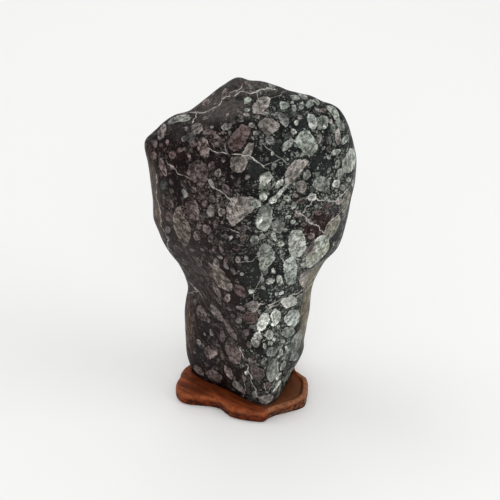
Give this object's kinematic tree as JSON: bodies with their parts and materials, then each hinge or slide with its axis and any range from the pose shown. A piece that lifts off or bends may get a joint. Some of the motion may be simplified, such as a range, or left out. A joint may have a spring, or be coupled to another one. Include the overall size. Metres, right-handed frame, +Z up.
{
  "type": "suiseki viewing stone on a wooden stand",
  "caption": "Tall upright natural viewing stone with a broad head and a narrower foot, standing in the fitted seat of a low free-form wooden stand.",
  "frame": {"origin": "on the flat underside of the stand, below the middle of the stone's foot", "axes": "+Z up along the stone's height; -Y is the front, the side that faces the viewer; +X is to the viewer's right"},
  "size_m": [0.1526, 0.1, 0.2605],
  "materials": {
    "stone": "satin",
    "wood": "satin"
  },
  "bodies": {
    "root": {"stone": "stone", "stand": "wood"}
  },
  "joints": []
}
